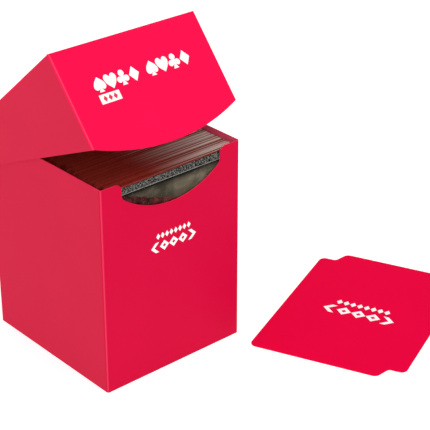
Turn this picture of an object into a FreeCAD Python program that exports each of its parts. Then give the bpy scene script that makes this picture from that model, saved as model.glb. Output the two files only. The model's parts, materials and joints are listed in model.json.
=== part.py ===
import FreeCAD, Part
import math
import os
import Sketcher

# A flip-top deck box folded from one polypropylene sheet. It holds a deck of sleeved playing
# cards on edge, and its loose divider card lies on the table beside it.
# The origin is the centre of the box's footprint on the table. +Z is up, the panel with the
# thumb notch faces -Y, and +X is to the right of someone who looks at that panel.
# Every lid panel is drawn with the lid shut, and its Placement then swings it open.

os.makedirs("parts", exist_ok=True)
doc = FreeCAD.newDocument("card_deck_box")
sheet = doc.addObject("Spreadsheet::Sheet", "Sizes")
sub_parts = []


class Size:
    """A length or an angle, kept as its value and as the sheet formula that gives it."""

    def __init__(self, value, formula):
        self.value = value
        self.formula = formula

    def __add__(self, other):
        other = as_size(other)
        return Size(self.value + other.value, f"({self.formula} + {other.formula})")

    def __sub__(self, other):
        other = as_size(other)
        return Size(self.value - other.value, f"({self.formula} - {other.formula})")

    def __mul__(self, other):
        other = as_size(other)
        return Size(self.value * other.value, f"({self.formula} * {other.formula})")

    def __truediv__(self, other):
        other = as_size(other)
        return Size(self.value / other.value, f"({self.formula} / {other.formula})")

    def __neg__(self):
        return Size(-self.value, f"(0 - {self.formula})")


def as_size(number):
    """Plain numbers join in the sums as they are."""
    if isinstance(number, Size):
        return number
    return Size(float(number), f"({number})")


def root(size):
    """Square root of a size."""
    return Size(math.sqrt(size.value), f"sqrt({size.formula})")


def cell(alias, value):
    """Write one driving dimension into the next row of the sheet."""
    row = cell.rows = getattr(cell, "rows", 0) + 1
    sheet.set(f"A{row}", alias.replace("_", " "))
    sheet.set(f"B{row}", str(value))
    sheet.setAlias(f"B{row}", alias)
    return Size(float(value), f"Sizes.{alias}")


# The sheet and its folds.
gauge = cell("sheet_gauge", 0.5)
fold_radius = cell("fold_radius", 1.0)
fold_depth = cell("fold_depth", 1.2)

# The open-topped body.
body_width = cell("body_width", 73.5)
body_depth = cell("body_depth", 78.7)
body_height = cell("body_height", 94.75)

# The thumb notch in the front panel: a round floor between two upright sides.
notch_width = cell("notch_width", 52.2)
notch_floor = cell("notch_floor_height", 78.5)
notch_arc = cell("notch_floor_radius", 41.0)
notch_corner = cell("notch_corner_radius", 3.0)

# The lid and the crease that it swings on.
hinge_height = cell("hinge_height", 75.3)
crease_radius = cell("crease_bead_radius", 0.3)
crease_gap = cell("crease_to_lid_panel", 0.4)
lid_side_gap = cell("lid_side_gap", 0.2)
lid_front_gap = cell("lid_front_gap", 2.65)
lid_top_gap = cell("lid_top_gap", 0.55)
flap_side_drop = cell("flap_drop_at_sides", 41.65)
flap_middle_drop = cell("flap_drop_at_middle", 49.05)
lid_back_corner = cell("lid_side_edge_height_at_back", 78.0)
open_angle = cell("lid_open_angle", 40.42)
lid_edge_radius = cell("lid_edge_radius", 0.4)

# The flaps inside the body.
flap_reach = cell("bottom_flap_reach", 26.0)
flap_slack = cell("flap_slack", 0.05)
flap_trim = cell("flap_end_trim", 0.7)
seam_width = cell("seam_flap_width", 12.0)
seam_bottom = cell("seam_flap_bottom", 1.2)
seam_top_trim = cell("seam_flap_top_trim", 1.5)

# The deck of sleeved cards, pushed towards the front and the right.
card_width = cell("card_width", 63.0)
card_height = cell("card_height", 88.0)
card_corner = cell("card_corner_radius", 3.0)
card_thickness = cell("card_thickness", 0.3)
card_top = cell("front_card_top_height", 91.95)
card_lean = cell("front_card_lean", 0.4)
sleeve_width = cell("sleeve_width", 68.4)
sleeve_height = cell("sleeve_height", 91.6)
sleeve_corner = cell("sleeve_corner_radius", 0.8)
film = cell("sleeve_film", 0.08)
film_gap = cell("sleeve_film_gap", 0.05)
deck_shift = cell("deck_shift_right", 1.75)
deck_front_gap = cell("deck_front_gap", 0.12)
group_pitch = cell("three_card_pitch", 2.22)
group_thickness = cell("three_card_thickness", 2.16)
deck_spread = cell("deck_sideways_spread", 0.15)
groups_in_deck = 25

# The divider card on the table: two opposite tabs, stepped in at one corner of each.
divider_length = cell("divider_length", 94.6)
divider_width = cell("divider_width", 70.0)
divider_step = cell("divider_step", 7.5)
divider_low = cell("divider_low_width", 7.5)
divider_slope = cell("divider_slope_width", 3.0)
divider_corner = cell("divider_corner_radius", 3.0)
divider_hollow = cell("divider_hollow_radius", 2.0)
divider_east = cell("divider_corner_east", 33.1)
divider_north = cell("divider_corner_north", -50.8)
divider_turn = cell("divider_turn", 23.6)
doc.recompute()

# Where the faces of the box lie.
half_width = body_width / 2
half_depth = body_depth / 2
lid_half = half_width + lid_side_gap + gauge
lid_front = -(half_depth + lid_front_gap + gauge)
lid_top = body_height + lid_top_gap + gauge
lid_under = body_height + lid_top_gap
flap_low = lid_top - flap_side_drop


def origin_plane(body, role):
    """One of a body's own three planes."""
    return next(plane for plane in body.Origin.OriginFeatures if plane.Role == role)


def corner_place(role, point):
    """Where a point falls in the two directions of a plane."""
    if role == "XY_Plane":
        return point.x, point.y
    if role == "XZ_Plane":
        return point.x, point.z
    return point.y, point.z


def new_sketch(body, name, role, offset):
    """A sketch parallel to one of the body's planes, moved along that plane's normal."""
    sketch = body.newObject("Sketcher::SketchObject", name)
    sketch.AttachmentSupport = [(origin_plane(body, role), "")]
    sketch.MapMode = "FlatFace"
    sketch.setExpression("AttachmentOffset.Base.z", as_size(offset).formula)
    return sketch


def bind(sketch, kind, places, size):
    """Add a dimension to a sketch and tie it to the sheet."""
    size = as_size(size)
    index = sketch.addConstraint(Sketcher.Constraint(kind, *places, size.value))
    sketch.setExpression(f"Constraints[{index}]", size.formula)


def draw(sketch, corners, arcs=None):
    """Close an outline through the corners. arcs gives the radius of each side that bulges
    outwards from an outline drawn anticlockwise, by the number of the corner it starts at."""
    arcs = arcs or {}
    points = []
    for across, up in corners:
        points.append(FreeCAD.Vector(as_size(across).value, as_size(up).value, 0))
    count = len(points)
    for side in range(count):
        start, end = points[side], points[(side + 1) % count]
        if side in arcs:
            radius = arcs[side].value
            chord = end - start
            inward = FreeCAD.Vector(-chord.y, chord.x, 0).normalize()
            rise = math.sqrt(radius ** 2 - (chord.Length / 2) ** 2)
            centre = (start + end) / 2 + inward * rise
            circle = Part.Circle(centre, FreeCAD.Vector(0, 0, 1), radius)
            first = math.atan2(start.y - centre.y, start.x - centre.x)
            last = math.atan2(end.y - centre.y, end.x - centre.x)
            sketch.addGeometry(Part.ArcOfCircle(circle, first, last), False)
        else:
            sketch.addGeometry(Part.LineSegment(start, end), False)
    for side, (across, up) in enumerate(corners):
        sketch.addConstraint(Sketcher.Constraint("Coincident", side, 2, (side + 1) % count, 1))
        bind(sketch, "DistanceX", (-1, 1, side, 1), across)
        bind(sketch, "DistanceY", (-1, 1, side, 1), up)
    for side, radius in arcs.items():
        bind(sketch, "Radius", (side,), radius)


def pad(body, sketch, length):
    """Thicken an outline along its plane's normal."""
    feature = body.newObject("PartDesign::Pad", body.Label + "_pad")
    feature.Profile = sketch
    feature.setExpression("Length", as_size(length).formula)
    doc.recompute()
    return feature


def pocket(body, name, sketch, depth, towards_normal):
    """Cut an outline away, and make sure that it cut something."""
    before = body.Shape.Volume
    feature = body.newObject("PartDesign::Pocket", name)
    feature.Profile = sketch
    feature.Reversed = towards_normal
    feature.setExpression("Length", as_size(depth).formula)
    doc.recompute()
    if body.Shape.Volume > before - 1e-3:
        raise RuntimeError(name + " cuts nothing")
    return feature


def round_off(body, name, edges, radius):
    """Round the named edges of a body."""
    if not edges:
        raise RuntimeError(name + " has no edges")
    base = body.Tip
    feature = body.newObject("PartDesign::Fillet", name)
    feature.Base = (base, edges)
    feature.setExpression("Radius", as_size(radius).formula)
    doc.recompute()
    if "Invalid" in feature.State:
        raise RuntimeError(name + " cannot be rounded")


def edges_where(shape, test):
    """Names of the edges whose two ends both pass a test."""
    names = []
    for number, edge in enumerate(shape.Edges, 1):
        ends = [vertex.Point for vertex in edge.Vertexes]
        if len(ends) == 2 and all(test(end) for end in ends):
            names.append(f"Edge{number}")
    return names


def near(first, second):
    """Whether two places are the same, within a thousandth of a millimetre."""
    return abs(first - as_size(second).value) < 1e-3


def edges_at(shape, role, corners):
    """Edges that run straight along the plane's normal through the given corners."""
    names = []
    for across, up in corners:
        def on_corner(point):
            place = corner_place(role, point)
            return near(place[0], across) and near(place[1], up)
        names += edges_where(shape, on_corner)
    return names


def plate(label, role, start, thickness, corners, arcs=None):
    """A sub-part cut from flat sheet: an outline on a plane, thickened along the normal."""
    body = doc.addObject("PartDesign::Body", label)
    body.Label = label
    sketch = new_sketch(body, label + "_outline", role, start)
    draw(sketch, corners, arcs)
    pad(body, sketch, thickness)
    sub_parts.append(body)
    return body


def rectangle(low_across, low_up, high_across, high_up):
    """Four corners, anticlockwise."""
    return [(low_across, low_up), (high_across, low_up), (high_across, high_up), (low_across, high_up)]


def folded_panel(label, half, front, outer, corners, arcs=None, top=None):
    """An upright panel with the folds of its side edges, and of its top edge when top is given.
    front says whether it faces -Y, outer is its outer face and half its half width."""
    if front:
        start = -outer - fold_depth
        hollow_start = start
    else:
        start = -outer
        hollow_start = -outer + fold_depth
    body = plate(label, "XZ_Plane", start, fold_depth, corners, arcs)
    low = corners[0][1] - fold_depth * 10
    high = top - gauge if top else corners[2][1] + fold_depth
    inside = half - gauge
    sketch = new_sketch(body, label + "_inside", "XZ_Plane", hollow_start)
    draw(sketch, rectangle(-inside, low, inside, high))
    pocket(body, label + "_hollow", sketch, fold_depth - gauge, front)

    inner = outer + gauge if front else outer - gauge
    outer_folds = fold_edges(body.Shape, half, outer, top)
    round_off(body, label + "_outer_folds", outer_folds, fold_radius)
    inner_folds = fold_edges(body.Shape, inside, inner, high if top else None)
    round_off(body, label + "_inner_folds", inner_folds, fold_radius - gauge)
    return body


def fold_edges(shape, half, face, top):
    """Edges of a folded panel's face along its two sides, and along its top when that is folded."""
    names = []
    for number, edge in enumerate(shape.Edges, 1):
        start = edge.Vertexes[0].Point
        end = edge.Vertexes[-1].Point
        on_face = near(start.y, face) and near(end.y, face)
        upright = near(start.x, end.x) and near(abs(start.x), half)
        along_top = top is not None and near(start.z, top) and near(end.z, top)
        if on_face and (upright or along_top):
            names.append(f"Edge{number}")
    return names


def swing_open(body):
    """Turn a lid panel about the crease, from shut to where the lid rests."""
    axis_place = f"vector(0; {half_depth.formula}; {hinge_height.formula})"
    turn = f"rotation(vector(1; 0; 0); 0 - {open_angle.formula})"
    body.setExpression("Placement", f"placement(vector(0; 0; 0); {turn}; {axis_place})")


def body_front_panel():
    """Front panel, with the thumb notch cut into its rim."""
    corners = rectangle(-half_width, as_size(0), half_width, body_height)
    body = folded_panel("body_front_panel", half_width, True, -half_depth, corners)
    side = notch_width / 2
    arc_end = notch_floor + notch_arc - root(notch_arc * notch_arc - side * side)
    sketch = new_sketch(body, "notch_outline", "XZ_Plane", half_depth)
    draw(sketch, rectangle(-side, arc_end, side, body_height + fold_depth), {0: notch_arc})
    pocket(body, "thumb_notch", sketch, fold_depth * 2, False)
    turns = [(-side, arc_end), (side, arc_end), (-side, body_height), (side, body_height)]
    round_off(body, "notch_corners", edges_at(body.Shape, "XZ_Plane", turns), notch_corner)


def body_side_panels():
    """Left and right panels, plain and as high as the rim from front to back."""
    reach = half_depth - fold_depth
    outline = rectangle(-reach, as_size(0), reach, body_height)
    plate("body_left_side", "YZ_Plane", -half_width, gauge, outline)
    plate("body_right_side", "YZ_Plane", half_width - gauge, gauge, outline)


def body_back_panel():
    """Back panel, from the table up to the lid's crease."""
    corners = rectangle(-half_width, as_size(0), half_width, hinge_height - crease_radius)
    folded_panel("body_back_panel", half_width, False, half_depth, corners)


def body_bottom():
    """Bottom panel between the four walls, and the two side flaps folded in over it."""
    inside_width = half_width - gauge
    inside_depth = half_depth - gauge
    outline = rectangle(-inside_width, -inside_depth, inside_width, inside_depth)
    bottom = plate("body_bottom_panel", "XY_Plane", as_size(0), gauge, outline)
    corner_edges = edges_at(bottom.Shape, "XY_Plane", outline)
    round_off(bottom, "bottom_corners", corner_edges, fold_radius - gauge)

    fold_line = inside_width - flap_slack
    end = inside_depth - flap_trim
    left = rectangle(-fold_line, -end, -fold_line + flap_reach, end)
    right = rectangle(fold_line - flap_reach, -end, fold_line, end)
    plate("bottom_left_flap", "XY_Plane", gauge, gauge, left)
    plate("bottom_right_flap", "XY_Plane", gauge, gauge, right)


def side_seam_flap():
    """The strip that closes the sheet into a tube, welded inside the right panel at the back."""
    back = half_depth - fold_depth
    top = hinge_height - seam_top_trim
    outline = rectangle(back - seam_width, seam_bottom, back, top)
    plate("side_seam_flap", "YZ_Plane", half_width - gauge * 2, gauge, outline)


def hinge_crease():
    """The soft bead of the crease that joins the lid to the back panel, on the hinge axis."""
    bead = doc.addObject("Part::Cylinder", "lid_hinge_crease")
    bead.Label = "lid_hinge_crease"
    bead.setExpression("Radius", crease_radius.formula)
    bead.setExpression("Height", body_width.formula)
    turn = "rotation(vector(0; 1; 0); 90)"
    end = f"vector({(-half_width).formula}; {half_depth.formula}; {hinge_height.formula})"
    bead.setExpression("Placement", f"placement({end}; {turn})")
    sub_parts.append(bead)


def lid_front_flap():
    """The lid's front: square at the top, with a lower edge that bows down in the middle."""
    bow = flap_middle_drop - flap_side_drop
    bow_radius = (lid_half * lid_half + bow * bow) / (bow * 2)
    corners = rectangle(-lid_half, flap_low, lid_half, lid_top)
    body = folded_panel("lid_front_flap", lid_half, True, lid_front, corners, {0: bow_radius}, lid_top)
    swing_open(body)


def lid_side_panels():
    """The lid's sides, which taper from the front flap to a little above the crease."""
    front = lid_front + fold_depth
    back = half_depth - fold_depth
    slope = (lid_back_corner - flap_low) / (half_depth - lid_front)
    outline = [
        (front, flap_low),
        (back, flap_low + slope * (back - front)),
        (back, lid_under),
        (front, lid_under),
    ]
    for label, start in (("lid_left_side", -lid_half), ("lid_right_side", lid_half - gauge)):
        swing_open(plate(label, "YZ_Plane", start, gauge, outline))


def lid_top_panel():
    """The lid's top, with its side and back edges rounded by their folds."""
    outline = rectangle(-lid_half, lid_front + fold_depth, lid_half, half_depth)
    body = plate("lid_top_panel", "XY_Plane", lid_under, gauge, outline)

    def outside_edge(point):
        on_side = near(abs(point.x), lid_half)
        return near(point.z, lid_top) and (on_side or near(point.y, half_depth))

    names = []
    for name in edges_where(body.Shape, outside_edge):
        edge = body.Shape.Edges[int(name[4:]) - 1]
        middle = edge.CenterOfMass
        if near(abs(middle.x), lid_half) or near(middle.y, half_depth):
            names.append(name)
    round_off(body, "lid_top_folds", names, lid_edge_radius)
    swing_open(body)


def lid_back_panel():
    """The lid's back, a low strip above the crease."""
    corners = rectangle(-lid_half, hinge_height + crease_gap, lid_half, lid_under)
    body = folded_panel("lid_back_panel", lid_half, False, half_depth, corners)
    swing_open(body)


def lean(body, foot_across, foot_height):
    """Tip a card sideways, so that it stands on the corner at its left foot."""
    foot = f"vector({foot_across.formula}; 0; {foot_height.formula})"
    turn = f"rotation(vector(0; 1; 0); 0 - {card_lean.formula})"
    body.setExpression("Placement", f"placement(vector(0; 0; 0); {turn}; {foot})")


def front_card():
    """The first card of the deck and the two films of its sleeve, clear in front. Together they
    lean a little to one side."""
    stand = gauge * 2 + flap_slack
    window_back = -half_depth + gauge + deck_front_gap + film
    card_back = window_back + film_gap + card_thickness
    film_back = card_back + film_gap + film

    half_sleeve = sleeve_width / 2
    foot = deck_shift - half_sleeve
    right = deck_shift + half_sleeve
    outline = rectangle(foot, stand, right, stand + sleeve_height)
    for label, back in (("front_sleeve_window", window_back), ("front_sleeve_back", film_back)):
        body = plate(label, "XZ_Plane", -back, film, outline)
        round_off(body, label + "_corners", edges_at(body.Shape, "XZ_Plane", outline), sleeve_corner)
        lean(body, foot, stand)

    half_card = card_width / 2
    left = deck_shift - half_card
    right = deck_shift + half_card
    outline = rectangle(left, card_top - card_height, right, card_top)
    card = plate("front_card", "XZ_Plane", -card_back, card_thickness, outline)
    round_off(card, "front_card_corners", edges_at(card.Shape, "XZ_Plane", outline), card_corner)
    lean(card, foot, stand)
    return film_back


def deck(front):
    """The rest of the deck behind the front card, in groups of three sleeved cards. Each group
    stands a little to one side of the next, as cards that were dropped in by hand do."""
    stand = gauge * 2 + flap_slack
    sway_step = 2.4
    sway_swell = 0.9
    for number in range(groups_in_deck):
        label = f"sleeved_cards_{number + 1:02d}"
        group = doc.addObject("Part::Box", label)
        group.Label = label
        sway = math.sin(number * sway_step) * math.cos(number * sway_swell)
        left = deck_shift + deck_spread * round(sway, 3) - sleeve_width / 2
        near_face = front + film_gap + group_pitch * number
        group.setExpression("Length", sleeve_width.formula)
        group.setExpression("Width", group_thickness.formula)
        group.setExpression("Height", sleeve_height.formula)
        group.setExpression("Placement.Base.x", left.formula)
        group.setExpression("Placement.Base.y", near_face.formula)
        group.setExpression("Placement.Base.z", stand.formula)
        sub_parts.append(group)


def card_divider():
    """The loose divider card. Half a turn about its centre brings its outline onto itself."""
    half_length = divider_length / 2
    half_span = divider_width / 2
    low_end = half_length - divider_step
    inner = half_span - divider_low
    outer = half_span - divider_low - divider_slope
    half_turn = [
        (-low_end, -half_span),
        (half_length, -half_span),
        (half_length, outer),
        (low_end, inner),
    ]
    outline = half_turn + [(-across, -up) for across, up in half_turn]
    body = plate("card_divider", "XY_Plane", as_size(0), gauge, outline)
    hollows = [outline[3], outline[7]]
    rounds = [corner for index, corner in enumerate(outline) if index not in (3, 7)]
    round_off(body, "divider_rounds", edges_at(body.Shape, "XY_Plane", rounds), divider_corner)
    round_off(body, "divider_hollows", edges_at(body.Shape, "XY_Plane", hollows), divider_hollow)
    corner = f"vector({divider_east.formula}; {divider_north.formula}; 0)"
    centre = f"vector({half_length.formula}; {(-half_span).formula}; 0)"
    unturned = "rotation(vector(0; 0; 1); 0)"
    turn = f"rotation(vector(0; 0; 1); {divider_turn.formula})"
    place = f"placement({corner}; {turn}) * placement({centre}; {unturned})"
    body.setExpression("Placement", place)


body_front_panel()
body_side_panels()
body_back_panel()
body_bottom()
side_seam_flap()
hinge_crease()
lid_front_flap()
lid_side_panels()
lid_top_panel()
lid_back_panel()
deck(front_card())
card_divider()
doc.recompute()

for item in doc.Objects:
    if "Invalid" in item.State or "Error" in item.State:
        raise RuntimeError(f"{item.Label} is {item.State}")
for item in sub_parts:
    if item.Shape.isNull() or not item.Shape.isValid():
        raise RuntimeError(f"{item.Label} has no valid shape")
for item in sub_parts:
    item.Shape.exportStep(f"parts/{item.Label}.step")
    print(f"{item.Label}: {item.Shape.Volume:.2f} mm3, {len(item.Shape.Solids)} solid")
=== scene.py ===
import json
import math
import random

import bmesh
import bpy
from mathutils import Matrix, Vector


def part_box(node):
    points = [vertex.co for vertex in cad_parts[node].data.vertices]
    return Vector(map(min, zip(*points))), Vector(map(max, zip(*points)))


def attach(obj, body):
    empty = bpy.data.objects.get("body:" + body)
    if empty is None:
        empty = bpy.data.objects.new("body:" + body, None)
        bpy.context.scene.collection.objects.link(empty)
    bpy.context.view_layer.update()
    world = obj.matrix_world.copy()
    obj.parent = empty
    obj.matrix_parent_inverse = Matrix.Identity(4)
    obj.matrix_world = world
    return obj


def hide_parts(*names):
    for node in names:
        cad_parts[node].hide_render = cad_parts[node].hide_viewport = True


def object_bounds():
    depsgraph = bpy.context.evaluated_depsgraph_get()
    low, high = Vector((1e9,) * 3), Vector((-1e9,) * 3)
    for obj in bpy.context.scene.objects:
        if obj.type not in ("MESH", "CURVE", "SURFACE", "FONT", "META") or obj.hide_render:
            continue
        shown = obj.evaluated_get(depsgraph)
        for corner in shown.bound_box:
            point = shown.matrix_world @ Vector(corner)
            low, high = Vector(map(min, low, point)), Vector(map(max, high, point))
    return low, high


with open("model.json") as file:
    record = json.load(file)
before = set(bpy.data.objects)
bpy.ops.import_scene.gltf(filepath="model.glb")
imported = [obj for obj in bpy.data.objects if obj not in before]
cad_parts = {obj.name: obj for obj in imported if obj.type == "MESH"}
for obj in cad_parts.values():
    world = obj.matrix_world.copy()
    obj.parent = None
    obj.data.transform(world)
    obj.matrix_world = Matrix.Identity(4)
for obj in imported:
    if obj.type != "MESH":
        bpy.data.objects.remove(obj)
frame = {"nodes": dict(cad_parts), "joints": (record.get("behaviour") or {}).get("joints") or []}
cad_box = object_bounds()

nodes = frame["nodes"]
MM = 0.001


# The box's body: front with the thumb notch, two sides, back, bottom and its flaps. It is one
# sheet of red polypropylene, die-cut, scored and folded up, and welded along one hidden flap.
def linear(colour):
    """An sRGB hex colour as the linear colour that shaders take."""
    parts = [int(colour[i:i + 2], 16) / 255 for i in (1, 3, 5)]
    return [c / 12.92 if c <= 0.04045 else ((c + 0.055) / 1.055) ** 2.4 for c in parts] + [1.0]


def add_node(material, kind, inputs=None, stops=(), **settings):
    """Add one node. Its inputs are values or other nodes' outputs, by socket name or number, and
    stops are a colour ramp's (place, hex colour) steps, lowest first."""
    node = material.node_tree.nodes.new(kind)
    for name, value in settings.items():
        setattr(node, name, value)
    for name, value in (inputs or {}).items():
        if isinstance(value, bpy.types.NodeSocket):
            material.node_tree.links.new(value, node.inputs[name])
        else:
            node.inputs[name].default_value = value
    for number, (place, colour) in enumerate(stops):
        steps = node.color_ramp.elements
        step = steps[number] if number < len(steps) else steps.new(place)
        step.position = place
        step.color = linear(colour)
    return node


def new_material(name):
    """An empty material, and the surface shader that its nodes lead to."""
    material = bpy.data.materials.new(name)
    material.use_nodes = True
    return material, material.node_tree.nodes["Principled BSDF"]


def lead(material, source, shader, socket):
    """Lead a node's output into a socket of the surface shader."""
    material.node_tree.links.new(source, shader.inputs[socket])


def paint(piece, material):
    """Give a piece one material all over."""
    piece.data.materials.clear()
    piece.data.materials.append(material)


def sheet_polypropylene(name, deep, bright, within, centre, half, pose=None, rim=None):
    """Extruded polypropylene sheet: a fine sand-grained face, matt with a soft sheen, and on the
    inside another tone and slanting lines, which are drawn coarser than real; for the body that
    inside tone is a pale painted light. The folds run round a box of half size half about
    centre: upright ones are pale, partly where the score stressed the sheet and partly a painted
    highlight, and level ones are darkened with painted shade. pose brings a swung lid back to
    where it is shut. Cut edges that face up, higher than rim, get a painted highlight of a
    clearer red."""
    mottle_size, grain_size, line_pitch = 30 * MM, 0.8 * MM, 4.478 * MM
    fold_start, skin = 0.2 * MM, 0.3 * MM
    # The directions that a fold is measured in, how far its band reaches, how strong, its colour.
    # The upright folds' pale colour is partly stress whitening and partly a painted highlight; the
    # level folds' dark colour is painted shade.
    upright_fold_whitening_and_highlight = ((1, 1, 0), 0.75 * MM, 0.42, "#ff6a84")
    level_fold_painted_shade = ((0, 1, 1), 0.6 * MM, 0.7, "#a81638")
    # Painted highlight for cut edges that face up: a clearer red where light falls on them from above.
    cut_edge_highlight = "#ff2c58"
    material, shader = new_material(name)
    where = add_node(material, "ShaderNodeTexCoord").outputs["Object"]
    if pose:
        turned = {"Vector": where, "Location": pose[0], "Rotation": (pose[1], 0, 0)}
        where = add_node(material, "ShaderNodeMapping", turned).outputs[0]

    noise = {"Vector": where, "Scale": 1 / mottle_size, "Detail": 2.0}
    mottle = add_node(material, "ShaderNodeTexNoise", noise).outputs[0]
    colour = {0: mottle, 6: linear(deep), 7: linear(bright)}
    colour = add_node(material, "ShaderNodeMix", colour, data_type="RGBA").outputs[2]

    # How far a point is past each pair of the fold box's faces, and which points are inside.
    outward = {0: where, 1: centre}
    outward = add_node(material, "ShaderNodeVectorMath", outward, operation="SUBTRACT").outputs[0]
    outward = add_node(material, "ShaderNodeVectorMath", {0: outward}, operation="ABSOLUTE").outputs[0]
    past = {0: outward, 1: half}
    past = add_node(material, "ShaderNodeVectorMath", past, operation="SUBTRACT").outputs[0]
    nearest = {0: past, 1: (1, 1, -1)}
    nearest = add_node(material, "ShaderNodeVectorMath", nearest, operation="MULTIPLY").outputs[0]
    x, y, z = add_node(material, "ShaderNodeSeparateXYZ", {0: nearest}).outputs
    nearest = add_node(material, "ShaderNodeMath", {0: x, 1: y}, operation="MAXIMUM").outputs[0]
    nearest = add_node(material, "ShaderNodeMath", {0: nearest, 1: z}, operation="MAXIMUM").outputs[0]
    inside = {0: nearest, 1: -skin}
    inside = add_node(material, "ShaderNodeMath", inside, operation="LESS_THAN").outputs[0]
    colour = {0: inside, 6: colour, 7: linear(within)}
    colour = add_node(material, "ShaderNodeMix", colour, data_type="RGBA").outputs[2]

    # Each fold's band: pale stress whitening with a painted highlight on the upright folds, painted shade on
    # the level folds.
    for across, fold_end, strength, tone in (upright_fold_whitening_and_highlight, level_fold_painted_shade):
        away = {0: past, 1: across}
        away = add_node(material, "ShaderNodeVectorMath", away, operation="MULTIPLY").outputs[0]
        away = add_node(material, "ShaderNodeVectorMath", {0: away}, operation="LENGTH").outputs[1]
        band = {0: away, 1: fold_start, 2: fold_end, 3: strength, 4: 0.0}
        band = add_node(material, "ShaderNodeMapRange", band, interpolation_type="SMOOTHSTEP").outputs[0]
        colour = {0: band, 6: colour, 7: linear(tone)}
        colour = add_node(material, "ShaderNodeMix", colour, data_type="RGBA").outputs[2]

    # Cut edges that face up and stand higher than rim get the painted highlight.
    if rim:
        height = add_node(material, "ShaderNodeSeparateXYZ", {0: where}).outputs[2]
        facing = add_node(material, "ShaderNodeTexCoord").outputs["Normal"]
        facing = add_node(material, "ShaderNodeSeparateXYZ", {0: facing}).outputs[2]
        upward = {0: facing, 1: 0.5}
        upward = add_node(material, "ShaderNodeMath", upward, operation="GREATER_THAN").outputs[0]
        high = {0: height, 1: rim}
        high = add_node(material, "ShaderNodeMath", high, operation="GREATER_THAN").outputs[0]
        cut = add_node(material, "ShaderNodeMath", {0: high, 1: upward}, operation="MULTIPLY").outputs[0]
        colour = {0: cut, 6: colour, 7: linear(cut_edge_highlight)}
        colour = add_node(material, "ShaderNodeMix", colour, data_type="RGBA").outputs[2]
    lead(material, colour, shader, "Base Color")

    noise = {"Vector": where, "Scale": 1 / grain_size, "Detail": 2.0}
    grain = add_node(material, "ShaderNodeTexNoise", noise).outputs[0]
    rough = add_node(material, "ShaderNodeMapRange", {0: grain, 1: 0.3, 2: 0.7, 3: 0.44, 4: 0.56})
    lead(material, rough.outputs[0], shader, "Roughness")

    # The wave's bands repeat every pi / 5 along x + y + z, which is pi / 5 / sqrt(2) on a face.
    slant = {"Vector": where, "Scale": math.pi / 5 / math.sqrt(2) / line_pitch}
    lines = add_node(material, "ShaderNodeTexWave", slant, bands_direction="DIAGONAL").outputs[1]
    lines = add_node(material, "ShaderNodeMath", {0: lines, 1: inside}, operation="MULTIPLY").outputs[0]
    relief = add_node(material, "ShaderNodeMath", {0: lines, 1: 1.5, 2: grain}, operation="MULTIPLY_ADD")
    bump = {"Strength": 0.35, "Distance": 0.03 * MM, "Height": relief.outputs[0]}
    lead(material, add_node(material, "ShaderNodeBump", bump).outputs[0], shader, "Normal")
    shader.inputs["IOR"].default_value = 1.49
    shader.inputs["Specular IOR Level"].default_value = 0.03
    return material


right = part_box("body_right_side")[1]
front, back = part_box("body_front_panel")[0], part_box("body_back_panel")[1]
body_centre, body_half = (0, 0, 0), (right.x, back.y, 0)
# The body's inside faces are painted a pale pink: painted light, so that the inner walls read as lit.
body_inside_painted_light, body_rim = "#ff6484", 70 * MM
red_body = sheet_polypropylene(
    "red_polypropylene_body", "#ca0638", "#d00a3c", body_inside_painted_light, body_centre, body_half, rim=body_rim)
# The sides take a paler, pinker copy of the same sheet: a painted sheen, for the light that grazes them.
red_body_sides_painted_sheen = sheet_polypropylene(
    "red_polypropylene_body_sides_painted_sheen", "#c61c3e", "#cc2042", body_inside_painted_light, body_centre, body_half,
    rim=body_rim)
for name in ("body_front_panel", "body_back_panel", "body_bottom_panel"):
    paint(nodes[name], red_body)
for name in ("bottom_left_flap", "bottom_right_flap"):
    paint(nodes[name], red_body)
for name in ("body_left_side", "body_right_side", "side_seam_flap"):
    paint(nodes[name], red_body_sides_painted_sheen)


# The crease that the lid swings on: a living hinge, rolled thin across the back of the same
# sheet. Bending has whitened it a little along its whole length.
streak_size = 2 * MM
red_crease, shader = new_material("red_polypropylene_crease")
where = add_node(red_crease, "ShaderNodeTexCoord").outputs["Object"]
streaks = add_node(red_crease, "ShaderNodeTexNoise", {"Vector": where, "Scale": 1 / streak_size}).outputs[0]
colour = {0: streaks, 6: linear("#e8244c"), 7: linear("#ff7890")}
colour = add_node(red_crease, "ShaderNodeMix", colour, data_type="RGBA").outputs[2]
lead(red_crease, colour, shader, "Base Color")
shader.inputs["Roughness"].default_value = 0.4
paint(nodes["lid_hinge_crease"], red_crease)


# The flip-top lid: front flap with a bowed edge, tapering sides, top and a low back strip, all
# folded from the same sheet as the body. It stays where it is put, held by the stiff crease.
hinge = next(joint for joint in frame["joints"] if joint["name"] == "lid_hinge")
axis = Vector(hinge["pos_m"])
opened = math.radians(-hinge["range_deg"][0])
shut_turn = Matrix.Rotation(opened, 3, "X")
to_shut = (axis - shut_turn @ axis, opened)
swing = Matrix.Translation(axis) @ Matrix.Rotation(-opened, 4, "X") @ Matrix.Translation(-axis)

lid_points = [shut_turn @ (v.co - axis) + axis for v in nodes["lid_front_flap"].data.vertices]
lid_side = max(p.x for p in lid_points)
lid_front = min(p.y for p in lid_points)
lid_top = max(p.z for p in lid_points)
lid_centre = (0, (lid_front + axis.y) / 2, lid_top)
lid_half = (lid_side, (axis.y - lid_front) / 2, 0)
lid_inner_face = "#e02a4c"
# The lid takes a brighter copy of the body's red: painted light, for the stronger light that falls on the
# lid.
red_lid_painted_light = sheet_polypropylene(
    "red_polypropylene_lid_painted_light", "#ec0c46", "#f2104c", lid_inner_face, lid_centre, lid_half, to_shut)
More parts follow.
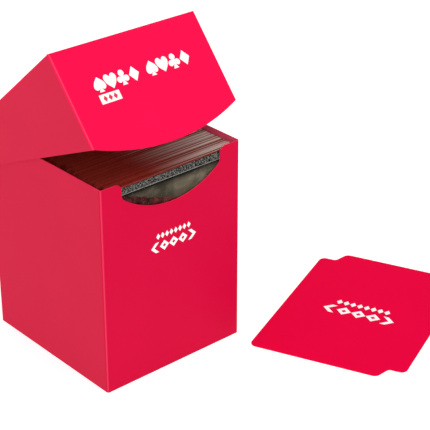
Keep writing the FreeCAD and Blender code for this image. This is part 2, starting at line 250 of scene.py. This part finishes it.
# Its sides take a paler, pinker copy: a painted sheen, for the light that grazes them.
red_lid_sides_painted_sheen = sheet_polypropylene(
    "red_polypropylene_lid_sides_painted_sheen", "#c91f40", "#cf2444", lid_inner_face, lid_centre, lid_half, to_shut)
for name in ("lid_front_flap", "lid_top_panel", "lid_back_panel"):
    paint(nodes[name], red_lid_painted_light)
for name in ("lid_left_side", "lid_right_side"):
    paint(nodes[name], red_lid_sides_painted_sheen)


# The front card: a printed playing card, varnished card stock. Its face has a speckled grey
# border and a murky painted landscape, of which the thumb notch shows the top.
card_low, card_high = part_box("front_card")
card_middle, half_card = (card_low + card_high) / 2, (card_high - card_low) / 2
border, frame_shade = 3.3 * MM, 8 * MM
grit_size, speck_size, speck_level = 0.7 * MM, 1.5 * MM, 0.39
cloud_size, crag_size = 14 * MM, 4 * MM
hill_top, hill_rise, hill_slope, hill_blur = 79.6 * MM, 5 * MM, 0.36, 0.12 * MM
granite_tones = [(0.38, "#1a1a17"), (0.47, "#363632"), (0.54, "#51504d"), (0.64, "#84837f")]
sky_tones = [(0.32, "#26221b"), (0.43, "#3c372c"), (0.54, "#554e40"), (0.66, "#756d5c")]
rock_tones = [(0.38, "#160908"), (0.50, "#3a1614"), (0.62, "#5c2e2a")]
shade_tones = [(0.50, "#505050"), (0.62, "#b4b4b4"), (0.85, "#ffffff")]
pale_line = (border - 0.05 * MM, 0.09 * MM, "#9c9e98")
dark_line = (border + 0.25 * MM, 0.2 * MM, "#0c0c0a")

card_print, shader = new_material("varnished_card_print")
where = add_node(card_print, "ShaderNodeTexCoord").outputs["Object"]
to_edge = {0: where, 1: card_middle}
to_edge = add_node(card_print, "ShaderNodeVectorMath", to_edge, operation="SUBTRACT").outputs[0]
to_edge = add_node(card_print, "ShaderNodeVectorMath", {0: to_edge}, operation="ABSOLUTE").outputs[0]
to_edge = {0: half_card, 1: to_edge}
to_edge = add_node(card_print, "ShaderNodeVectorMath", to_edge, operation="SUBTRACT").outputs[0]
to_edge = add_node(card_print, "ShaderNodeSeparateXYZ", {0: to_edge}).outputs
to_edge = {0: to_edge[0], 1: to_edge[2]}
to_edge = add_node(card_print, "ShaderNodeMath", to_edge, operation="MINIMUM").outputs[0]

grit = {"Vector": where, "Scale": 1 / grit_size, "Detail": 2.0, "Roughness": 0.7}
grit = add_node(card_print, "ShaderNodeTexNoise", grit).outputs[0]
granite = add_node(card_print, "ShaderNodeValToRGB", {0: grit}, granite_tones).outputs[0]
specks = {"Vector": where, "Scale": 1 / speck_size}
specks = add_node(card_print, "ShaderNodeTexNoise", specks).outputs[0]
specks = add_node(card_print, "ShaderNodeMath", {0: specks, 1: speck_level}, operation="LESS_THAN").outputs[0]
granite = {0: specks, 6: granite, 7: linear("#10120f")}
granite = add_node(card_print, "ShaderNodeMix", granite, data_type="RGBA").outputs[2]

clouds = {"Vector": where, "Scale": 1 / cloud_size, "Detail": 4.0, "Distortion": 0.4}
clouds = add_node(card_print, "ShaderNodeTexNoise", clouds).outputs[0]
sky = add_node(card_print, "ShaderNodeValToRGB", {0: clouds}, sky_tones).outputs[0]
crags = {"Vector": where, "Scale": 1 / crag_size, "Detail": 5.0, "Roughness": 0.6}
crags = add_node(card_print, "ShaderNodeTexNoise", crags).outputs[0]
rock = add_node(card_print, "ShaderNodeValToRGB", {0: crags}, rock_tones).outputs[0]
height = add_node(card_print, "ShaderNodeSeparateXYZ", {0: where}).outputs
height = {0: height[0], 1: hill_slope, 2: height[2]}
height = add_node(card_print, "ShaderNodeMath", height, operation="MULTIPLY_ADD").outputs[0]
skyline = {0: crags, 1: -hill_rise, 2: height}
skyline = add_node(card_print, "ShaderNodeMath", skyline, operation="MULTIPLY_ADD").outputs[0]
hill_line = hill_top - hill_rise / 2
hill = {0: skyline, 1: hill_line - hill_blur, 2: hill_line + hill_blur, 3: 1.0, 4: 0.0}
hill = add_node(card_print, "ShaderNodeMapRange", hill).outputs[0]
painting = {0: hill, 6: sky, 7: rock}
painting = add_node(card_print, "ShaderNodeMix", painting, data_type="RGBA").outputs[2]

reach = {0: to_edge, 1: 0.0, 2: frame_shade, 3: 0.0, 4: 1.0}
reach = add_node(card_print, "ShaderNodeMapRange", reach).outputs[0]
shade = add_node(card_print, "ShaderNodeValToRGB", {0: reach}, shade_tones).outputs[0]
painting = {0: 1.0, 6: painting, 7: shade}
painting = add_node(card_print, "ShaderNodeMix", painting, data_type="RGBA", blend_type="MULTIPLY").outputs[2]
bordered = {0: to_edge, 1: border}
bordered = add_node(card_print, "ShaderNodeMath", bordered, operation="LESS_THAN").outputs[0]
face = {0: bordered, 6: painting, 7: granite}
face = add_node(card_print, "ShaderNodeMix", face, data_type="RGBA").outputs[2]
for line_place, half_line, line_colour in (pale_line, dark_line):
    line = {0: to_edge, 1: line_place, 2: half_line}
    line = add_node(card_print, "ShaderNodeMath", line, operation="COMPARE").outputs[0]
    face = {0: line, 6: face, 7: linear(line_colour)}
    face = add_node(card_print, "ShaderNodeMix", face, data_type="RGBA").outputs[2]
lead(card_print, face, shader, "Base Color")
shader.inputs["Roughness"].default_value = 0.35
shader.inputs["Specular IOR Level"].default_value = 0.04
paint(nodes["front_card"], card_print)


# The front card's sleeve: two polypropylene films welded at the sides and the foot, clear in
# front and dark red behind. The films stand a little above the card that they hold.
# Its colour is dark, because the little that it hides would otherwise whiten the card.
haze_size, most_haze, haze_colour = 9 * MM, 0.01, "#38352f"
clear_film, shader = new_material("clear_sleeve_film")
where = add_node(clear_film, "ShaderNodeTexCoord").outputs["Object"]
haze = add_node(clear_film, "ShaderNodeTexNoise", {"Vector": where, "Scale": 1 / haze_size}).outputs[0]
haze = add_node(clear_film, "ShaderNodeMapRange", {0: haze, 1: 0.3, 2: 0.7, 3: 0.0, 4: most_haze})
lead(clear_film, haze.outputs[0], shader, "Alpha")
shader.inputs["Base Color"].default_value = linear(haze_colour)
shader.inputs["Specular IOR Level"].default_value = 0.05
shader.inputs["Roughness"].default_value = 0.12
shader.inputs["IOR"].default_value = 1.49
paint(nodes["front_sleeve_window"], clear_film)


def dark_sleeve_film(name, deep, bright, glare):
    """Dark red polypropylene film. Each film of a deck has its own tone, and towards the right end
    the top edges carry pale stripes of painted glare. The last argument says how much."""
    tone_size, glare_stripe_size = 0.9 * MM, 0.45 * MM
    glare_start, glare_full, glare_colour = -12 * MM, 34 * MM, "#fff0e4"
    material, shader = new_material(name)
    where = add_node(material, "ShaderNodeTexCoord").outputs["Object"]
    place = add_node(material, "ShaderNodeSeparateXYZ", {0: where}).outputs
    tone = {"W": place[1], "Scale": 1 / tone_size, "Detail": 1.0}
    tone = add_node(material, "ShaderNodeTexNoise", tone, noise_dimensions="1D").outputs[0]
    tone = add_node(material, "ShaderNodeValToRGB", {0: tone}, [(0.35, deep), (0.65, bright)]).outputs[0]
    # Painted glare: pale stripes on the films' top edges, growing towards the right end.
    glare_stripes = {"W": place[1], "Scale": 1 / glare_stripe_size, "Detail": 1.0, "Roughness": 0.5}
    glare_stripes = add_node(material, "ShaderNodeTexNoise", glare_stripes, noise_dimensions="1D").outputs[0]
    glare_stripes = {0: glare_stripes, 1: 0.44, 2: 0.55, 3: 0.0, 4: glare}
    glare_stripes = add_node(material, "ShaderNodeMapRange", glare_stripes).outputs[0]
    along = {0: place[0], 1: glare_start, 2: glare_full, 3: 0.0, 4: 1.0}
    along = add_node(material, "ShaderNodeMapRange", along, interpolation_type="SMOOTHSTEP").outputs[0]
    glare_stripes = add_node(material, "ShaderNodeMath", {0: glare_stripes, 1: along}, operation="MULTIPLY").outputs[0]
    colour = {0: glare_stripes, 6: tone, 7: linear(glare_colour)}
    colour = add_node(material, "ShaderNodeMix", colour, data_type="RGBA").outputs[2]
    lead(material, colour, shader, "Base Color")
    shader.inputs["Roughness"].default_value = 0.28
    shader.inputs["IOR"].default_value = 1.49
    shader.inputs["Specular IOR Level"].default_value = 0.2
    return material


dark_film = dark_sleeve_film("dark_red_sleeve_film", "#6e180e", "#8c2a1c", 0.0)
paint(nodes["front_sleeve_back"], dark_film)


# The rest of the deck: cards in the same sleeves, standing on edge one behind the other. Only
# their top edges show: dark back films, clear front films, and the card edges just below.
def thin_sheet(mesh, width, low, high, corner, middle, lean):
    """Add one upright rectangle with rounded top corners, leaning a little, to a mesh."""
    made = bmesh.ops.create_grid(mesh, x_segments=2, y_segments=2, size=0.5)["verts"]
    bmesh.ops.scale(mesh, vec=(width, high - low, 1), verts=made)
    bmesh.ops.rotate(mesh, cent=(0, 0, 0), matrix=Matrix.Rotation(math.radians(90), 3, "X"), verts=made)
    bmesh.ops.translate(mesh, vec=(middle.x, middle.y, (low + high) / 2), verts=made)
    near = 0.1 * MM
    ends = [v for v in made if abs(abs(v.co.x - middle.x) - width / 2) < near]
    tips = [v for v in ends if v.co.z > high - near]
    for v in made:
        v.co.y += lean * (v.co.z - low) / (high - low)
    bmesh.ops.bevel(
        mesh, geom=tips, offset=corner, offset_type="OFFSET", affect="VERTICES",
        segments=3, profile=0.5, material=-1)


def finished_piece(name, mesh, material):
    """Turn a finished bmesh into an object of one material."""
    data = bpy.data.meshes.new(name)
    mesh.to_mesh(data)
    mesh.free()
    piece = bpy.data.objects.new(name, data)
    bpy.context.scene.collection.objects.link(piece)
    paint(piece, material)
    return piece


fibre_size = 1.5 * MM
core, shader = new_material("card_stock_edge")
where = add_node(core, "ShaderNodeTexCoord").outputs["Object"]
fibres = add_node(core, "ShaderNodeTexNoise", {"Vector": where, "Scale": 1 / fibre_size}).outputs[0]
fibres = add_node(core, "ShaderNodeValToRGB", {0: fibres}, [(0.3, "#a07868"), (0.7, "#d0b4a4")]).outputs[0]
lead(core, fibres, shader, "Base Color")
shader.inputs["Roughness"].default_value = 0.7
# The deck's films are the same film as the front sleeve's back, painted in lighter tones to stand in for the
# light that the lid keeps off them, and with full painted glare.
deck_film_painted_light = dark_sleeve_film("deck_sleeve_film_painted_light", "#902c22", "#a83a2e", 1.0)

groups = sorted(name for name in nodes if name.startswith("sleeved_cards_"))
cards_in_group = 3
share_pushed_aside = 0.4
# Name, material, slot, how much narrower and lower than the sleeve, thickness, corner radius,
# and the place within one card's share of the deck, from 0 at its front to 1.
stack = (
    ("deck_front_films", clear_film, "sleeve_film", 0.2 * MM, 0.3 * MM, 0.06 * MM, 0.8 * MM, 0.03),
    ("deck_card_edges", core, "card_stock", 5.4 * MM, 1.3 * MM, 0.30 * MM, 3.0 * MM, 0.20),
    ("deck_back_films", deck_film_painted_light, "sleeve_film", 0.0, 0.0, 0.10 * MM, 0.8 * MM, 0.60),
)
for name, material, slot, narrower, lower, thickness, corner, depth in stack:
    draw = random.Random(11)
    sheets = bmesh.new()
    for group in groups:
        low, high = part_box(group)
        pitch = (high.y - low.y) / cards_in_group
        short = draw.uniform(0.9, 2.4) * MM if draw.random() < share_pushed_aside else 0.0
        width = high.x - low.x - narrower - short
        for card in range(cards_in_group):
            sway = draw.uniform(-0.15, 0.15) * MM
            sink = draw.uniform(0.0, 0.22) * MM
            lean = draw.uniform(-0.06, 0.06) * MM
            middle = Vector(((low.x + high.x + short) / 2 + sway, low.y + pitch * (card + depth), 0))
            thin_sheet(sheets, width, low.z, high.z - lower - sink, corner, middle, lean)
    bmesh.ops.recalc_face_normals(sheets, faces=sheets.faces)
    bmesh.ops.solidify(sheets, geom=sheets.faces[:], thickness=thickness)
    piece = finished_piece(name, sheets, material)
    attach(piece, "box")
    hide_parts(*groups)


# The divider card: a loose die-cut rectangle of the same polypropylene with a tab at each end,
# put between cards to part them. It lies flat on the table, and has no folds.
divider_low, divider_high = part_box("card_divider")
divider_middle = (divider_low + divider_high) / 2
# The box that its folds would run round is so large that none is drawn, nor an inside.
far_folds = (1, 1, 1)
red_divider = sheet_polypropylene(
    "red_polypropylene_divider", "#e1003b", "#e8003f", "#e8003f", (0, 0, 0), far_folds)
red_divider.node_tree.nodes["Principled BSDF"].inputs["Specular IOR Level"].default_value = 0.01
paint(nodes["card_divider"], red_divider)


# The white prints: one layer of screen-printed ink on the lid, the body and the divider. They
# are plain ornaments: on the lid card suits over a tag with three red pips, and elsewhere
# lozenges between two chevrons, under a row of small lozenges.
def screen_ink(name, thin, full):
    """Screen-printed ink, which covers a little unevenly."""
    cover_size = 0.5 * MM
    material, shader = new_material(name)
    where = add_node(material, "ShaderNodeTexCoord").outputs["Object"]
    cover = add_node(material, "ShaderNodeTexNoise", {"Vector": where, "Scale": 1 / cover_size}).outputs[0]
    cover = add_node(material, "ShaderNodeValToRGB", {0: cover}, [(0.3, thin), (0.6, full)]).outputs[0]
    lead(material, cover, shader, "Base Color")
    shader.inputs["Roughness"].default_value = 0.45
    return material


white_ink = screen_ink("white_screen_ink", "#f2eef0", "#fdfbfc")
red_ink = screen_ink("red_screen_ink", "#e0103c", "#e81642")

SHARP, ROUND = "VECTOR", "AUTO"
SQUARE = [(-0.5, -0.5, SHARP), (0.5, -0.5, SHARP), (0.5, 0.5, SHARP), (-0.5, 0.5, SHARP)]
LOZENGE = [(0, 0.5, SHARP), (-0.36, 0, SHARP), (0, -0.5, SHARP), (0.36, 0, SHARP)]
CHEVRON = [
    (-0.5, 0, SHARP), (0.08, 0.5, SHARP), (0.5, 0.5, SHARP), (-0.08, 0, SHARP), (0.5, -0.5, SHARP),
    (0.08, -0.5, SHARP),
]
HEART = [
    (0, -0.5, SHARP), (0.40, 0.04, ROUND), (0.40, 0.36, ROUND), (0.20, 0.49, ROUND), (0, 0.30, SHARP),
    (-0.20, 0.49, ROUND), (-0.40, 0.36, ROUND), (-0.40, 0.04, ROUND),
]
SPADE = [
    (0, 0.5, SHARP), (-0.38, 0.02, ROUND), (-0.38, -0.24, ROUND), (-0.20, -0.34, ROUND),
    (-0.05, -0.24, SHARP), (-0.18, -0.5, SHARP), (0.18, -0.5, SHARP), (0.05, -0.24, SHARP),
    (0.20, -0.34, ROUND), (0.38, -0.24, ROUND), (0.38, 0.02, ROUND),
]
CLUB = [
    (0.08, 0.07, SHARP), (0.20, 0.28, ROUND), (0, 0.5, ROUND), (-0.20, 0.28, ROUND),
    (-0.08, 0.07, SHARP), (-0.30, 0.08, ROUND), (-0.42, -0.12, ROUND), (-0.26, -0.31, ROUND),
    (-0.05, -0.20, SHARP), (-0.18, -0.5, SHARP), (0.18, -0.5, SHARP), (0.05, -0.20, SHARP),
    (0.26, -0.31, ROUND), (0.42, -0.12, ROUND), (0.30, 0.08, ROUND),
]


def printed(name, marks, ink, place, body):
    """Ink on a surface. marks are (outline, middle, width, height); place takes them there."""
    layer = 0.02 * MM
    outline = bpy.data.curves.new(name, "CURVE")
    outline.dimensions = "2D"
    outline.fill_mode = "BOTH"
    outline.extrude = layer
    outline.resolution_u = 6
    for points, middle, width, height in marks:
        spline = outline.splines.new("BEZIER")
        spline.bezier_points.add(len(points) - 1)
        spline.use_cyclic_u = True
        for point, (across, up, kind) in zip(spline.bezier_points, points):
            point.co = (middle[0] + across * width, middle[1] + up * height, 0)
            point.handle_left_type = point.handle_right_type = kind
    shape = bpy.data.objects.new(name + "_outline", outline)
    bpy.context.scene.collection.objects.link(shape)
    bpy.context.view_layer.update()
    data = bpy.data.meshes.new_from_object(shape)
    bpy.data.objects.remove(shape)
    mesh = bmesh.new()
    mesh.from_mesh(data)
    bmesh.ops.remove_doubles(mesh, verts=mesh.verts, dist=layer / 10)
    bmesh.ops.recalc_face_normals(mesh, faces=mesh.faces)
    bmesh.ops.transform(mesh, matrix=place, verts=mesh.verts)
    piece = finished_piece(name, mesh, ink)
    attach(piece, body)


lift = 0.015 * MM
print_shift = 0.2 * MM
upright = Matrix.Rotation(math.radians(90), 4, "X")
on_lid = swing @ Matrix.Translation((print_shift, lid_front - lift, 0)) @ upright
over_tag = swing @ Matrix.Translation((print_shift, lid_front - lift * 4, 0)) @ upright
suits_in_row, row_middle = 8, lid_top - 18.0 * MM
suit_height, suit_width, suit_pitch = 6.5 * MM, 6.9 * MM, 5.8 * MM
middle_gap = 3.3 * MM
suit_row = []
for number in range(suits_in_row):
    suit = (SPADE, HEART, CLUB, LOZENGE)[number % 4]
    step = number - (suits_in_row - 1) / 2
    across = step * suit_pitch + math.copysign(middle_gap / 2, step)
    suit_row.append((suit, (across, row_middle), suit_width, suit_height))
printed("lid_suit_row", suit_row, white_ink, on_lid, "lid")

tag_middle, tag_width, tag_height = (-19.6 * MM, lid_top - 24.2 * MM), 9.9 * MM, 3.95 * MM
printed("lid_tag", [(SQUARE, tag_middle, tag_width, tag_height)], white_ink, on_lid, "lid")
pip_size, pip_pitch = 2.7 * MM, 2.5 * MM
pips = []
for step in (-1, 0, 1):
    pips.append((LOZENGE, (tag_middle[0] + step * pip_pitch, tag_middle[1]), pip_size, pip_size))
printed("lid_tag_pips", pips, red_ink, over_tag, "lid")


def emblem(width):
    """A band of open lozenges between two chevrons, under a row of small lozenges, as marks for
    printed. The middle of the band is its zero. A lozenge fills 0.72 of its own box."""
    height, pitch = width * 0.185, width / 5
    chevron_width = pitch * 0.84
    lozenge_width = pitch * 0.98 / 0.72
    hollow = 0.36
    small_pitch, small_size, small_up = width * 0.094, width * 0.112, height * 1.06
    turned_chevron = [(-across, up, kind) for across, up, kind in reversed(CHEVRON)]
    marks = [(CHEVRON, (-pitch * 2, 0), chevron_width, height)]
    marks.append((turned_chevron, (pitch * 2, 0), chevron_width, height))
    for step in (-1, 0, 1):
        marks.append((LOZENGE, (step * pitch, 0), lozenge_width, height))
        marks.append((LOZENGE, (step * pitch, 0), lozenge_width * hollow, height * hollow))
    for step in range(8):
        marks.append((LOZENGE, ((step - 3.5) * small_pitch, small_up), small_size, small_size))
    return marks


body_emblem_width, body_emblem_up = 25.0 * MM, 59.6 * MM
on_body = Matrix.Translation((print_shift, front.y - lift, body_emblem_up)) @ upright
printed("body_emblem", emblem(body_emblem_width), white_ink, on_body, "box")

divider_emblem_width, divider_emblem_drop = 35.2 * MM, 3.2 * MM
divider_turn = math.radians(23.6 - 90)
on_divider = Matrix.Translation((divider_middle.x, divider_middle.y, divider_high.z + lift))
on_divider = on_divider @ Matrix.Rotation(divider_turn, 4, "Z")
on_divider = on_divider @ Matrix.Translation((0, -divider_emblem_drop, 0))
printed("divider_emblem", emblem(divider_emblem_width), white_ink, on_divider, "divider")


# The table top: a plain pale studio surface, painted matt. It glows a little, as a light table
# does, so that it stays white beside the box.
half_table, below_box, patch_size = 2500 * MM, 0.05 * MM, 1000 / 3 * MM
table = bmesh.new()
bmesh.ops.create_grid(table, x_segments=8, y_segments=8, size=half_table)
bmesh.ops.translate(table, vec=(0, 0, cad_box[0][2] - below_box), verts=table.verts)
table_paint, shader = new_material("white_studio_table")
where = add_node(table_paint, "ShaderNodeTexCoord").outputs["Object"]
tone = add_node(table_paint, "ShaderNodeTexNoise", {"Vector": where, "Scale": 1 / patch_size}).outputs[0]
tone = add_node(table_paint, "ShaderNodeValToRGB", {0: tone}, [(0.3, "#e1e1e1"), (0.7, "#e5e5e5")]).outputs[0]
lead(table_paint, tone, shader, "Base Color")
shader.inputs["Emission Color"].default_value = (1, 1, 1, 1)
shader.inputs["Emission Strength"].default_value = 0.50
shader.inputs["Roughness"].default_value = 0.8
floor = finished_piece("studio_table", table, table_paint)


# The studio's light: a bright even room, one large soft box above and in front, and a smaller
# one lower down at the front left.
world = bpy.data.worlds.new("studio")
world.use_nodes = True
world.node_tree.nodes["Background"].inputs[0].default_value = (1, 1, 1, 1)
world.node_tree.nodes["Background"].inputs[1].default_value = 0.74
bpy.context.scene.world = world


def soft_box(name, size, place, aim, power):
    """A square area light at place that faces aim, all in metres and watts."""
    light = bpy.data.lights.new(name, "AREA")
    light.size = size
    light.energy = power
    lamp = bpy.data.objects.new(name, light)
    lamp.location = place
    lamp.rotation_euler = (Vector(aim) - Vector(place)).to_track_quat("-Z", "Y").to_euler()
    bpy.context.scene.collection.objects.link(lamp)


soft_box("key_soft_box", size=1.6, place=(-0.1, -0.45, 1.7), aim=(0.02, 0, 0.05), power=11.0)
soft_box("fill_soft_box", size=0.7, place=(-1.0, -0.9, 0.55), aim=(0.02, 0, 0.08), power=3.0)


# The camera: a long lens, from the front and the left of the box and a little above it.
azimuth, elevation = math.radians(-41.313), math.radians(27.593)
target = Vector((57.67, 0, 36.50)) * MM
distance = 697.85 * MM
backwards = Vector((
    math.sin(azimuth) * math.cos(elevation),
    -math.cos(azimuth) * math.cos(elevation),
    math.sin(elevation),
))
lens = bpy.data.cameras.new("camera")
lens.sensor_width = 36
lens.lens = 126.16
camera = bpy.data.objects.new("camera", lens)
camera.location = target + backwards * distance
camera.rotation_euler = (-backwards).to_track_quat("-Z", "Y").to_euler()
bpy.context.scene.collection.objects.link(camera)
bpy.context.scene.camera = camera
bpy.context.scene.view_settings.view_transform = "Standard"
